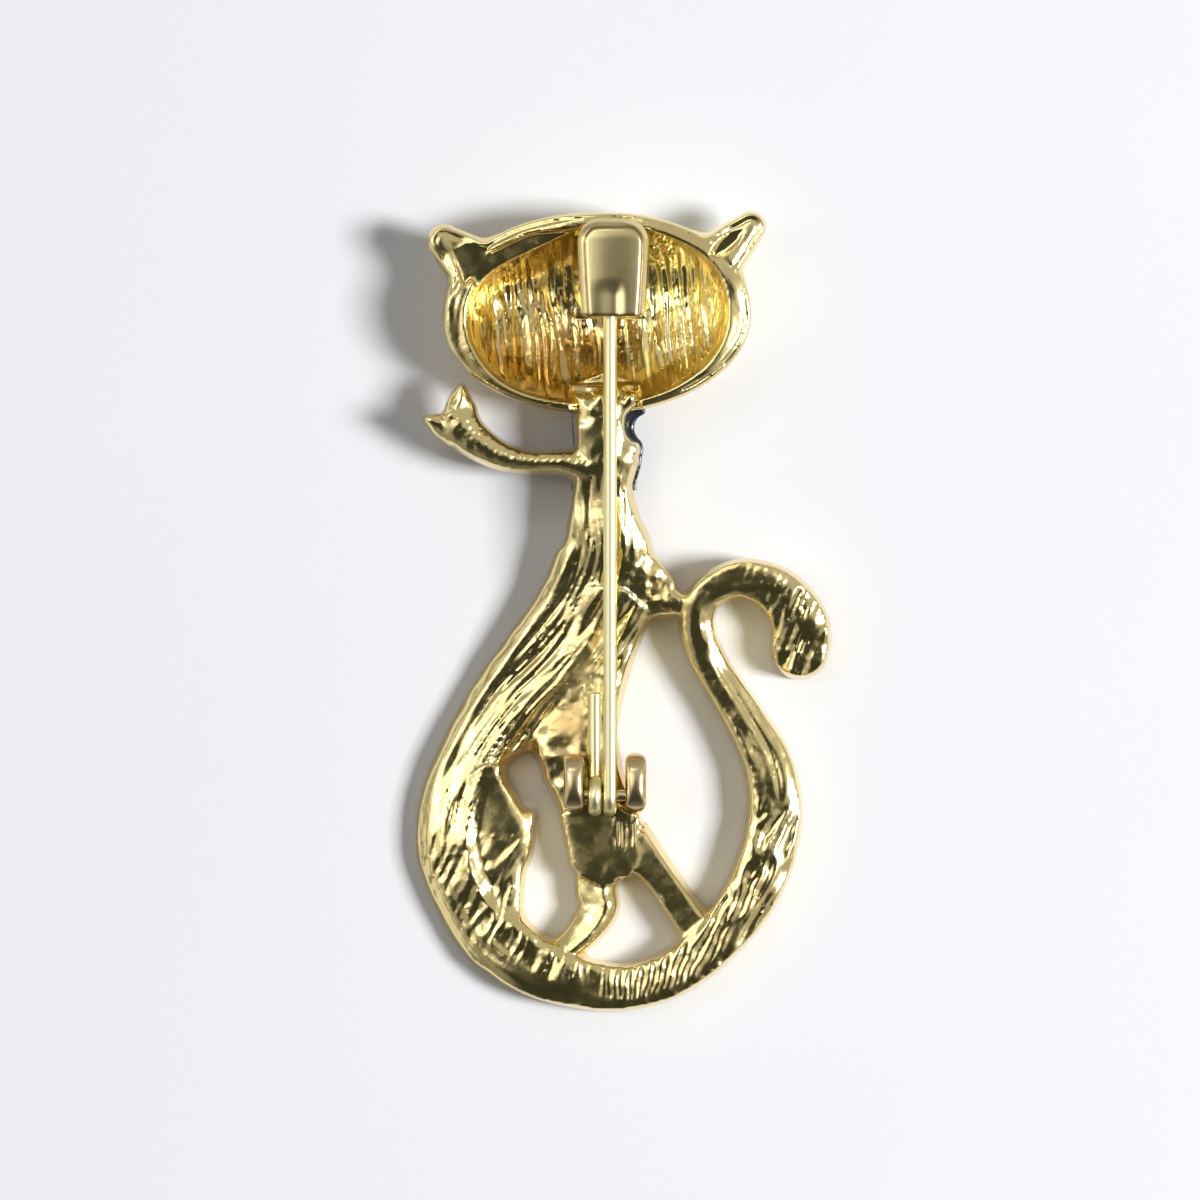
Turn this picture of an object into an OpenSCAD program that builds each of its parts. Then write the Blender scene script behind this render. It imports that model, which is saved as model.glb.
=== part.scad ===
// Cat brooch, lying on its face with its hinge, pin and catch upwards.
// X is across the cat, Y runs from the bottom of the tail to the ears, Z is up from the table.

/* [Head] */
// Width of the head across the cheeks
head_w = 20.7; // [17:0.1:24]
// Height of the head above its widest line
head_top = 7; // [6:0.1:8]
// Height of the head below its widest line
head_bottom = 6.55; // [5.5:0.1:8]
// Height of the head's rim above the table
rim_z = 5.2; // [4.6:0.1:6]
// Thickness of the head's shell at the middle of the face
face_t = 1.1; // [0.8:0.1:1.8]
// Width of the head's rim at the cheeks
rim_side = 1.6; // [1:0.1:2.2]
// Width of the head's rim at the top and at the chin
rim_end = 0.75; // [0.5:0.05:1.4]
// Thickness of the cat's ears
ear_t = 2.2; // [1.4:0.1:3]
// Depth of the pockets in the backs of the ears
ear_pocket = 0.9; // [0.4:0.1:1.2]

/* [Body and tail] */
// Height of the cat below its head
body_h = 39.8; // [36:0.1:44]
// Width of the cat from its haunch to the tail
loop_w = 26; // [24:0.1:28]
// Width of the back at its widest
back_w = 6.8; // [6:0.1:7.6]
// Width of the tail at its widest
tail_w = 4; // [3.4:0.1:4.6]
// Width of the legs
leg_w = 2.6; // [2.2:0.1:3.2]
// Width of the raised arm at the elbow
arm_w = 2; // [1.7:0.1:2.6]
// Thickness of the casting's limbs
limb_t = 2.6; // [2:0.1:3]
// How far the neck stands higher than the tail's loop
arch_h = 2.4; // [2:0.1:2.6]
// Thickness of the dark coat on the front
coat_t = 0.45; // [0.3:0.05:0.6]
// How far the dark coat shows beyond the metal
coat_edge = 0.25; // [0.1:0.05:0.4]

/* [Hinge, pin and catch] */
// Thickness of the pin's wire
wire_d = 0.9; // [0.7:0.05:1]
// Diameter of the hinge's rivet
rivet_d = 0.8; // [0.6:0.05:1]
// Running gap between the rivet and the wire's coil
coil_gap = 0.05; // [0.03:0.01:0.1]
// Gap between the rivet and the bore of the lugs
bore_gap = 0.02; // [0.01:0.01:0.05]
// Space between the two lugs
lug_space = 2.6; // [2.3:0.1:3]
// Thickness of a lug
lug_t = 1.5; // [1:0.1:1.8]
// Length of a lug along the pin
lug_l = 4; // [3.4:0.1:4.4]
// Distance from the rivet to the tip of the pin
pin_reach = 36.2; // [34:0.1:37]
// Length of the wire's short end
spring_l = 6.9; // [4:0.1:7]
// Width of the catch at its foot
catch_w = 4.7; // [4.2:0.1:5.4]
// Width of the catch's flat roof
catch_roof = 3.6; // [3:0.1:4]
// Length of the catch along the pin
catch_l = 6.7; // [6:0.1:7.2]
// Thickness of the catch's roof
catch_t = 0.6; // [0.4:0.05:0.9]
// Clear space around the wire in the catch
catch_gap = 0.1; // [0.06:0.02:0.2]
// How far the pin's axis rises from the hinge to the catch
pin_rise = 0.95; // [0.85:0.05:1.2]

/* [Hidden] */
$fn = 48;

// Distance between two sections along a limb, and the number of sides round the head
pitch = 1.2;
head_sides = 48;

gold = [0.80, 0.71, 0.42];
brass = [0.78, 0.74, 0.50];
coat = [0.10, 0.11, 0.16];
// Gap between the metal and the coat, and how much each stretch of the coat thins
coat_clear = 0.05;
coat_step = 0.06;

// Gap between the coil and the cat's back, and between the coil's two turns
coil_clear = 0.15;
turn_gap = 0.13;
// How far each turn goes round the rivet, and the angle where the short end's turn starts
turn_angle = 320;
turn_start = 40;
// How far a cut or a drill runs out of the metal that it opens
cut_over = 1;
// How far the middle of the hinge stands left of the pin, and the lugs stand above the rivet
hinge_shift = 0.35;
lug_shift = 0.85;
// Metal over the rivet, rounding of a lug's ends, and depth of its foot in the bed
lug_wall = 1.05;
lug_round = 1.1;
lug_foot = 1.3;
// How far the rivet's ends stand inside the lugs
rivet_short = 0.05;
// How far the middle of the catch stands right of the pin, and its closed end below the head's top
catch_shift = 0.2;
catch_inset = 0.4;
// Rounding of the catch's closed end, and how deep its cap and its post reach below the rim
catch_round = 1.1;
cap_depth = 0.5;
post_inset = 0.35;
// Room for the wire left and right of its axis in the catch
tunnel_left = 0.5;
tunnel_right = 0.95;
// How far the ears stand below the rim, and the taper of their edge
ear_drop = 0.1;
ear_taper = 0.15;

// Places shared by several parts. The cat is drawn from the left end of its haunch and the
// bottom of its tail, and set over the origin at the end.
head_x = 0.464 * loop_w;
head_y = body_h + head_bottom;
pin_x = 0.4974 * loop_w;
hinge_y = 0.365 * body_h;
coil_r = rivet_d / 2 + coil_gap + wire_d / 2;
hinge_z = limb_t + coil_clear + coil_r + wire_d / 2;
hinge_x = pin_x - hinge_shift;
turn_pitch = wire_d + turn_gap;
drill_l = lug_space + 2 * (lug_t + cut_over);
catch_x = pin_x + catch_shift;
catch_y = head_y + head_top - catch_inset - catch_l;
pin_slope = atan(pin_rise / (catch_y - hinge_y));
wire_r = wire_d / 2;
stem_z = hinge_z + coil_r;
catch_wire_z = stem_z + pin_rise;
tunnel_z = catch_wire_z - wire_r - 2 * catch_gap;
roof_z = catch_wire_z + wire_r + catch_gap + catch_l * tan(pin_slope);
ear_top_z = rim_z - ear_drop;

// Tables of sections along each limb. Columns: place across as a share of loop_w, place up as a
// share of body_h, width there as a share of the limb's named width.
// The back, from the neck down to the haunch, widths as shares of back_w
back_rows = [
    [0.487, 1.054, 0.70],
    [0.487, 1.026, 0.74],
    [0.477, 1.000, 0.57],
    [0.472, 0.980, 0.53],
    [0.487, 0.935, 0.65],
    [0.479, 0.884, 0.60],
    [0.482, 0.826, 0.73],
    [0.485, 0.759, 0.98],
    [0.430, 0.668, 1.00],
    [0.345, 0.590, 0.99],
    [0.251, 0.524, 0.86],
    [0.164, 0.442, 0.76],
    [0.108, 0.356, 0.75],
    [0.092, 0.273, 0.71]
];
// The tail, from the haunch round the bottom and up to its hook, widths as shares of tail_w
tail_rows = [
    [0.128, 0.199, 1.13],
    [0.192, 0.137, 1.20],
    [0.285, 0.085, 1.07],
    [0.395, 0.055, 0.93],
    [0.523, 0.0427, 0.83],
    [0.634, 0.060, 0.83],
    [0.731, 0.100, 0.86],
    [0.828, 0.169, 0.92],
    [0.889, 0.243, 0.97],
    [0.920, 0.335, 0.95],
    [0.900, 0.420, 0.87],
    [0.838, 0.497, 0.72],
    [0.772, 0.564, 0.65],
    [0.726, 0.625, 0.65],
    [0.722, 0.672, 0.63],
    [0.759, 0.709, 0.63],
    [0.841, 0.727, 0.70],
    [0.928, 0.705, 0.85],
    [0.982, 0.655, 1.00],
    [0.985, 0.608, 1.03],
    [0.980, 0.578, 0.90],
    [0.977, 0.560, 0.50]
];
// The middle of the body with the bed of the hinge, widths as shares of leg_w
bed_rows = [
    [0.518, 0.692, 1.95],
    [0.467, 0.608, 1.95],
    [0.438, 0.524, 1.85],
    [0.410, 0.449, 2.25],
    [0.446, 0.374, 1.95],
    [0.479, 0.307, 2.10],
    [0.482, 0.253, 1.85],
    [0.480, 0.228, 1.30]
];
// The bridge from the body to the tail, widths as shares of leg_w
bridge_rows = [
    [0.520, 0.730, 1.80],
    [0.583, 0.708, 1.85],
    [0.630, 0.696, 1.30],
    [0.655, 0.688, 0.88],
    [0.695, 0.683, 0.62],
    [0.735, 0.684, 0.62]
];
// The haunch between the back and the keyhole, widths as shares of leg_w
haunch_rows = [
    [0.182, 0.407, 1.00],
    [0.205, 0.348, 1.30],
    [0.226, 0.298, 1.64],
    [0.210, 0.240, 1.49],
    [0.205, 0.181, 1.49],
    [0.238, 0.126, 1.20],
    [0.330, 0.090, 1.10]
];
// The front leg and its foot, widths as shares of leg_w
front_leg_rows = [
    [0.472, 0.250, 1.33],
    [0.462, 0.206, 1.13],
    [0.469, 0.176, 1.08],
    [0.433, 0.139, 0.95],
    [0.385, 0.109, 0.80],
    [0.325, 0.088, 0.80]
];
// The rear leg, widths as shares of leg_w
rear_leg_rows = [
    [0.544, 0.293, 1.25],
    [0.621, 0.233, 0.97],
    [0.682, 0.176, 0.97],
    [0.728, 0.131, 1.03]
];
// The raised arm, widths as shares of arm_w
arm_rows = [
    [0.446, 0.915, 1.20],
    [0.369, 0.922, 0.88],
    [0.292, 0.922, 0.88],
    [0.221, 0.932, 1.02],
    [0.159, 0.955, 1.24],
    [0.115, 0.980, 1.34],
    [0.090, 0.997, 0.80]
];
// The upper toe and the outer toe, widths as shares of arm_w
upper_toe_rows = [
    [0.122, 0.977, 1.20],
    [0.115, 1.010, 1.14],
    [0.114, 1.026, 0.90],
    [0.117, 1.043, 0.52],
    [0.118, 1.054, 0.24]
];
outer_toe_rows = [
    [0.105, 0.972, 1.10],
    [0.062, 0.985, 0.90],
    [0.036, 0.992, 0.52],
    [0.018, 0.995, 0.24]
];

// Sections of a limb and of the coat, looked at along the limb. Columns: place across as a share of
// half the width, height as a share of the thickness.
limb_section = [
    [-0.86, 0], [0.86, 0], [1, 0.12], [0.98, 0.45], [0.86, 0.74], [0.55, 0.93],
    [0, 1], [-0.55, 0.93], [-0.86, 0.74], [-0.98, 0.45], [-1, 0.12]
];
coat_section = [[-0.94, 0], [0.94, 0], [1, 0.35], [1, 1], [-1, 1], [-1, 0.35]];

// Smooth curve through the rows of a table, as rows a pitch apart
function curve(a, b, c, d, t) =
    0.5 * (2 * b + (c - a) * t + (2 * a - 5 * b + 4 * c - d) * t * t
    + (3 * b - a - 3 * c + d) * t * t * t);
function smooth(rows) = [
    for (i = [0 : len(rows) - 2])
        let (a = rows[max(i - 1, 0)], b = rows[i], c = rows[i + 1], d = rows[min(i + 2, len(rows) - 1)])
            let (steps = max(1, round(norm([c.x - b.x, c.y - b.y]) / pitch)))
                for (k = [0 : steps - 1]) curve(a, b, c, d, k / steps),
    rows[len(rows) - 1]
];
// Rows in millimetres: place across, place up, half the width
function sized(rows, width) = [for (r = rows) [r.x * loop_w, r.y * body_h, r[2] * width / 2]];
// Height of the casting's front above the table, which rises from the loop to the neck
function ease(t) = t * t * (3 - 2 * t);
function front_z(y) = arch_h * ease(min(1, max(0, (y / body_h - 0.5) / 0.45)));

// One section of a limb: its points stand square to the limb's own direction
function ring(rows, i, section, thick, low, extra) =
    let (a = rows[max(i - 1, 0)], b = rows[min(i + 1, len(rows) - 1)], r = rows[i])
        let (way = [b.x - a.x, b.y - a.y] / norm([b.x - a.x, b.y - a.y]))
            [for (s = section) [
                r.x + way.y * (r[2] + extra) * s.x,
                r.y - way.x * (r[2] + extra) * s.x,
                front_z(r.y) + low + thick * s.y
            ]];

// A limb: a closed skin over its sections, which run from low to low + thick above the front
module limb(table, section, thick, low, extra = 0) {
    rows = smooth(table);
    n = len(section);
    last = len(rows) - 1;
    points = [for (i = [0 : last]) each ring(rows, i, section, thick, low, extra)];
    sides = [
        for (i = [0 : last - 1], k = [0 : n - 1])
            let (p = i * n + k, q = i * n + (k + 1) % n)
                each [[p, q, q + n], [p, q + n, p + n]]
    ];
    ends = [[for (k = [n - 1 : -1 : 0]) k], [for (k = [0 : n - 1]) last * n + k]];
    polyhedron(points, concat(sides, ends));
}

// Every limb of the cat below its head. Columns: its rows, how far its front stands behind the
// front of the long sweep, how far its back stays below the sweep's.
limb_list = [
    [concat(sized(back_rows, back_w), sized(tail_rows, tail_w)), 0, 0],
    [sized(bed_rows, leg_w), 0.14, 0.11],
    [sized(bridge_rows, leg_w), 0.21, 0.34],
    [sized(haunch_rows, leg_w), 0.17, 0.18],
    [sized(front_leg_rows, leg_w), 0.25, 0.25],
    [sized(rear_leg_rows, leg_w), 0.29, 0.31],
    [sized(arm_rows, arm_w), 0.06, 0.20],
    [sized(upper_toe_rows, arm_w), 0.10, 0.42],
    [sized(outer_toe_rows, arm_w), 0.14, 0.48]
];
module limbs() {
    for (l = limb_list)
        limb(l[0], limb_section, limb_t - l[1] - l[2], l[1]);
}

// Outline of the head at one angle: an ellipse below, with squarer shoulders above
function power(v, e) = sign(v) * pow(abs(v), e);
function oval(a, half_w, up, down, square) =
    let (e = sin(a) > 0 ? 2 / square : 1)
        [half_w * power(cos(a), e), (sin(a) > 0 ? up : down) * power(sin(a), e)];

// The hollow head: a domed face below, a flat rim above and a bowl inside, as one closed skin.
// Columns of each step: share of the outline's size, share of the depth below the rim.
outer_steps = [[0.30, 1], [0.58, 0.965], [0.80, 0.85], [0.93, 0.62], [0.99, 0.30], [1, 0.06], [0.985, 0]];
bowl_steps = [[1, 0], [0.97, 0.16], [0.90, 0.48], [0.74, 0.80], [0.50, 0.95], [0.25, 1]];
module head() {
    n = head_sides;
    outside = [for (s = outer_steps, k = [0 : n - 1])
        let (p = oval(k * 360 / n, head_w / 2, head_top, head_bottom, 2.2) * s.x)
            [p.x, p.y, rim_z * (1 - s.y)]];
    inside = [for (s = bowl_steps, k = [0 : n - 1])
        let (p = oval(k * 360 / n, head_w / 2 - rim_side, head_top - rim_end, head_bottom - rim_end, 2) * s.x)
            [p.x, p.y, rim_z - (rim_z - face_t) * s.y]];
    count = len(outer_steps) + len(bowl_steps);
    skin = [
        for (i = [0 : count - 2], k = [0 : n - 1])
            let (p = i * n + k, q = i * n + (k + 1) % n)
                each [[p, q + n, q], [p, p + n, q + n]]
    ];
    ends = [[for (k = [0 : n - 1]) k], [for (k = [n - 1 : -1 : 0]) (count - 1) * n + k]];
    translate([head_x, head_y, 0])
        polyhedron(concat(outside, inside), concat(skin, ends));
}

// Corners of an ear from the middle of the head, as shares of half the head's width and of its height
// above the widest line, with the corner's radius as a share of the ear's thickness
left_ear = [[-0.98, 0.74, 0.46], [-0.71, 0.70, 0.3], [-0.865, 0.36, 0.3]];
right_ear = [[0.99, 0.895, 0.42], [0.70, 0.76, 0.3], [0.865, 0.50, 0.3]];
function corner(c) = [head_x + c.x * head_w / 2, head_y + c.y * head_top];

module ear(corners) {
    hull()
        for (c = corners)
            translate([corner(c).x, corner(c).y, ear_top_z - ear_t])
                cylinder(h = ear_t, r1 = c[2] * ear_t, r2 = c[2] * ear_t - ear_taper, $fn = 20);
}

// A pocket is the ear's own triangle, drawn in towards its middle
module pocket(corners, scale_in) {
    middle = (corner(corners[0]) + corner(corners[1]) + corner(corners[2])) / 3;
    translate([middle.x, middle.y, ear_top_z - ear_pocket])
        linear_extrude(ear_pocket + cut_over)
            polygon([for (c = corners) (corner(c) - middle) * scale_in]);
}

// The two lugs of the hinge stand on the bed and lean on it with their feet
module lugs() {
    for (side = [-1, 1])
        translate([hinge_x + side * (lug_space + lug_t) / 2, hinge_y + lug_shift, 0])
            rotate([90, 0, 90])
                linear_extrude(lug_t, center = true)
                    lug_outline();
}

// A lug seen from its side: a flat foot in the bed and a round top over the rivet
module lug_outline() {
    top = hinge_z + rivet_d / 2 + lug_wall;
    translate([-lug_l / 2, limb_t - lug_foot])
        square([lug_l, top - lug_round - limb_t + lug_foot]);
    translate([-lug_l / 2 + lug_round, top - 2 * lug_round])
        square([lug_l - 2 * lug_round, 2 * lug_round]);
    for (side = [-1, 1])
        translate([side * (lug_l / 2 - lug_round), top - lug_round])
            circle(lug_round);
}

// The catch: a cap over the wire's tunnel with a flat, bevelled roof, on a post from the bowl's floor
module catch_block() {
    cap_z = rim_z - cap_depth;
    roof_top = roof_z + catch_t;
    bevel = (catch_w - catch_roof) / 2;
    post_z = face_t * 0.85;
    intersection() {
        translate([catch_x, catch_y + catch_l, 0])
            rotate([90, 0, 0])
                linear_extrude(catch_l)
                    polygon([
                        [-catch_w / 2, cap_z], [catch_w / 2, cap_z], [catch_w / 2, roof_top - 1.5 * bevel],
                        [catch_roof / 2, roof_top], [-catch_roof / 2, roof_top],
                        [-catch_w / 2, roof_top - 1.5 * bevel]
                    ]);
        translate([catch_x, catch_y, 0])
            linear_extrude(roof_top + cut_over)
                catch_plan(catch_w / 2, catch_l);
    }
    translate([catch_x - catch_w / 2 + post_inset, catch_y + post_inset, post_z])
        cube([catch_w - 2 * post_inset, 0.4 * catch_l, cap_z - post_z + 0.1]);
}

// The catch from above: square at its mouth, with round corners at its closed end
module catch_plan(half, length) {
    translate([-half, 0])
        square([2 * half, length - catch_round]);
    translate([-half + catch_round, 0])
        square([2 * half - 2 * catch_round, length]);
    for (side = [-1, 1])
        translate([side * (half - catch_round), length - catch_round])
            circle(catch_round);
}

// The tunnel is open at the mouth and, by the slot, at the left side, where the wire springs in
module catch_tunnel() {
    depth = catch_l - 1.5 * catch_t;
    translate([pin_x - wire_r - tunnel_left, catch_y - cut_over, tunnel_z])
        cube([wire_r + tunnel_left + tunnel_right, depth + cut_over, roof_z - tunnel_z]);
    translate([catch_x - catch_w / 2 - cut_over, catch_y - cut_over, tunnel_z])
        cube([catch_w / 2, depth + cut_over, roof_z - tunnel_z]);
}

module set_down() {
    translate([-centre_x, -centre_y, 0])
        children();
}

module cat_casting() {
    color(gold)
        set_down()
            difference() {
                union() {
                    limbs();
                    head();
                    ear(left_ear);
                    ear(right_ear);
                    lugs();
                    catch_block();
                }
                pocket(left_ear, 0.78);
                pocket(right_ear, 0.7);
                catch_tunnel();
                translate([hinge_x, hinge_y, hinge_z])
                    rotate([0, 90, 0])
                        cylinder(h = drill_l, r = rivet_d / 2 + bore_gap, center = true);
            }
}

// The coat lies under the metal of the neck, arm and paw and shows beyond its edge. Its top stays
// clear of the metal, and each of its stretches is a little thinner than the one before.
coat_list = [
    sized([for (i = [2 : 6]) back_rows[i]], back_w), sized(arm_rows, arm_w),
    sized(upper_toe_rows, arm_w), sized(outer_toe_rows, arm_w)
];
module front_enamel() {
    color(coat)
        set_down()
            for (i = [0 : len(coat_list) - 1])
                limb(coat_list[i], coat_section, coat_t - coat_step * i,
                    coat_step / 2 * i - coat_t - coat_clear, coat_edge);
}

module hinge_rivet() {
    color(gold)
        set_down()
            translate([hinge_x, hinge_y, hinge_z])
                rotate([0, 90, 0])
                    cylinder(h = lug_space + 2 * lug_t - 2 * rivet_short, r = rivet_d / 2, center = true);
}

// One turn of the wire round the rivet, from the angle where the wire leaves it
module eye(from, sweep) {
    rotate([0, 90, 0])
        rotate([0, 0, from])
            rotate_extrude(angle = sweep)
                translate([coil_r, 0])
                    circle(wire_r, $fn = 24);
}

// The stem leaves the top of its eye, slopes up to the catch and ends in a point
module pin_stem() {
    point_l = 5 * wire_d;
    color(brass)
        set_down()
            translate([pin_x, hinge_y, hinge_z])
                rotate([pin_slope, 0, 0]) {
                    eye(180, turn_angle);
                    translate([0, 0, coil_r])
                        rotate([-90, 0, 0]) {
                            cylinder(h = pin_reach - point_l, r = wire_r, $fn = 24);
                            translate([0, 0, pin_reach - point_l])
                                cylinder(h = point_l, r1 = wire_r, r2 = wire_r / 6, $fn = 24);
                        }
                }
}

// The other turn, whose short end lies on the cat's back and gives the pin its spring
module spring_tail() {
    color(brass)
        set_down()
            translate([pin_x - turn_pitch, hinge_y, hinge_z]) {
                eye(turn_start, turn_angle);
                translate([0, 0, -coil_r])
                    rotate([-90, 0, 0])
                        cylinder(h = spring_l, r = wire_r, $fn = 24);
            }
}

// The middle of the whole cat, from the edges of its longest sweep and the top of its right ear
all_rows = smooth(concat(sized(back_rows, back_w), sized(tail_rows, tail_w)));
edge_rows = [for (i = [0 : len(all_rows) - 1]) each ring(all_rows, i, limb_section, limb_t, 0, 0)];
low_x = min([for (p = edge_rows) p.x]);
high_x = max([for (p = edge_rows) p.x]);
low_y = min([for (p = edge_rows) p.y]);
high_y = corner(right_ear[0]).y + right_ear[0][2] * ear_t;
centre_x = (low_x + high_x) / 2;
centre_y = (low_y + high_y) / 2;

cat_casting();
front_enamel();
hinge_rivet();
pin_stem();
spring_tail();
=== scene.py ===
import bpy
import math
import time
import numpy as np
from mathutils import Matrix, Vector
from types import SimpleNamespace


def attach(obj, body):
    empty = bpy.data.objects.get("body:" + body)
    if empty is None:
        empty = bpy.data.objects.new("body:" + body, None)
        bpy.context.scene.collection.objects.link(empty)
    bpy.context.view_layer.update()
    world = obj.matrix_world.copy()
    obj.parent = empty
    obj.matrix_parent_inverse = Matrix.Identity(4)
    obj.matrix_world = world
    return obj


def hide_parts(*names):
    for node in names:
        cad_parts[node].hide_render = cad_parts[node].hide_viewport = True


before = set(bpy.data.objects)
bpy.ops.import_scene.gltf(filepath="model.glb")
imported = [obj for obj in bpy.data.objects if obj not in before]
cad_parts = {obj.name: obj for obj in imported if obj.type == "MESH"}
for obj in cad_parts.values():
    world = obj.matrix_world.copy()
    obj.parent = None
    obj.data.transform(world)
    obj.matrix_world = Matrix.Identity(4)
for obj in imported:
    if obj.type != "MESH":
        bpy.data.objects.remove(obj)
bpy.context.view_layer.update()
started = time.time()


def stage(words):
    print(f"[cat brooch] {words}, {time.time() - started:.1f} s")


# All lengths here are in millimetres until a mesh is made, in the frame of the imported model:
# X across the cat, Y from the tail to the ears, Z up from the table.
mm = 0.001
far = 9.0  # stands for a place outside of everything


def above(x):  # 0 where x is below 0
    return np.clip(x, 0, None)


def ramp(x, a, b):  # 0 below a, 1 above b, smooth between
    t = np.clip((x - a) / (b - a), 0, 1)
    return t * t * (3 - 2 * t)


def softMin(a, b, k):  # the lesser of two, rounded over a width k
    return np.minimum(a, b) - 0.25 * k * above(1 - np.abs(a - b) / k) ** 2


def softMax(a, b, k):
    return -softMin(-a, -b, k)


def bump(x, centre, width):  # a smooth hill of height 1
    return np.exp(-((x - centre) / width) ** 2)


noiseTable = np.random.RandomState(5).rand(256, 256) * 2 - 1


def cloud(x, y, seed):  # value noise from -1 to 1, one lattice cell for each unit
    x, y = x + 17.3 * seed, y + 41.7 * seed
    i, j = np.floor(x).astype(int), np.floor(y).astype(int)
    u, v = x - i, y - j
    u, v = u * u * (3 - 2 * u), v * v * (3 - 2 * v)
    a, b = noiseTable[i % 256, j % 256], noiseTable[(i + 1) % 256, j % 256]
    c, d = noiseTable[i % 256, (j + 1) % 256], noiseTable[(i + 1) % 256, (j + 1) % 256]
    return (a * (1 - u) + b * u) * (1 - v) + (c * (1 - u) + d * u) * v


def planGrid(x, y):
    return np.meshgrid(x, y, indexing="ij")


def grainOf(gx, gy):  # the finest roughness of the casting, -1 to 1
    return cloud(gx / 0.22, gy / 0.22, 1) * 0.6 + cloud(gx / 0.11, gy / 0.11, 2) * 0.4


def knifeMarks(across, along, pitch, length, seed):  # long narrow ridges with sharp valleys, 0 to 1
    a = cloud(across / pitch, along / length, seed)
    b = cloud(across / pitch * 2.1, along / length * 1.7, seed + 3)
    return 1 - np.abs(0.68 * a + 0.32 * b) * 1.6


def skinOf(name, field, low, high, step):
    # Surface nets: each grid cell that the surface f = 0 passes through gets one point, the mean of
    # the places where f changes sign on the cell's twelve edges; each crossed grid edge gets one face.
    n = [int(round((high[k] - low[k]) / step)) + 1 for k in range(3)]
    axes = [low[k] + step * np.arange(n[k]) for k in range(3)]
    f = field(*axes).astype(np.float32)
    inside = f < 0
    corners = [(i, j, k) for i in (0, 1) for j in (0, 1) for k in (0, 1)]
    count = np.zeros([m - 1 for m in n], np.int8)
    for i, j, k in corners:
        count += inside[i:n[0] - 1 + i, j:n[1] - 1 + j, k:n[2] - 1 + k]
    cells = np.argwhere((count > 0) & (count < 8))
    value = {c: f[cells[:, 0] + c[0], cells[:, 1] + c[1], cells[:, 2] + c[2]] for c in corners}
    total, hits = np.zeros((len(cells), 3)), np.zeros(len(cells))
    for a in corners:
        for axis in range(3):
            if a[axis] == 0:
                b = tuple(1 if k == axis else a[k] for k in range(3))
                crossed = (value[a] < 0) != (value[b] < 0)
                gap = np.where(crossed, value[a] - value[b], 1)
                place = np.tile(np.array(a, float), (len(cells), 1))
                place[:, axis] += value[a] / gap
                total += place * crossed[:, None]
                hits += crossed
    points = np.array(low) + step * (cells + total / hits[:, None])
    index = np.full(n, -1, np.int32)
    index[tuple(cells.T)] = np.arange(len(cells))
    faces = []
    for axis, (u, v) in enumerate(((1, 2), (2, 0), (0, 1))):
        first = [slice(None)] * 3
        second = [slice(None)] * 3
        first[axis], second[axis] = slice(0, n[axis] - 1), slice(1, n[axis])
        cross = inside[tuple(first)] != inside[tuple(second)]
        edges = np.argwhere(cross)
        edges = edges[(edges[:, u] > 0) & (edges[:, v] > 0)]
        outward = inside[tuple(edges.T)]
        du, dv = np.eye(3, dtype=int)[u], np.eye(3, dtype=int)[v]
        ring = [index[tuple((edges + shift).T)] for shift in (-du - dv, -dv, 0 * du, -du)]
        quad = np.stack(ring, 1)
        faces.append(np.where(outward[:, None], quad, quad[:, ::-1]))
    return meshFrom(name, points, np.concatenate(faces))


def meshFrom(name, points, quads):
    mesh = bpy.data.meshes.new(name)
    mesh.vertices.add(len(points))
    mesh.vertices.foreach_set("co", (np.asarray(points, np.float32) * mm).ravel())
    mesh.loops.add(quads.size)
    mesh.loops.foreach_set("vertex_index", quads.astype(np.int32).ravel())
    mesh.polygons.add(len(quads))
    mesh.polygons.foreach_set("loop_start", np.arange(len(quads), dtype=np.int32) * quads.shape[1])
    mesh.polygons.foreach_set("use_smooth", np.ones(len(quads), bool))
    mesh.update(calc_edges=True)
    mesh.validate()
    piece = bpy.data.objects.new(name, mesh)
    bpy.context.scene.collection.objects.link(piece)
    return piece


def addValue(piece, name, values):  # one number for each point, which the material reads
    piece.data.attributes.new(name, "FLOAT", "POINT").data.foreach_set("value", values.astype(np.float32))


def pointsOf(piece):
    co = np.zeros(len(piece.data.vertices) * 3, np.float32)
    piece.data.vertices.foreach_get("co", co)
    return co.reshape(-1, 3).T / mm


cat = {
    "loopWidth": 26.0, "bodyHeight": 39.8, "backWidth": 6.8, "tailWidth": 4.0, "legWidth": 2.6,
    "armWidth": 2.0, "thickness": 2.6, "archHeight": 2.4, "middle": (13.8317, 26.7906),
    "wallFoot": 0.3, "wallRise": 1.55,
}
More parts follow.
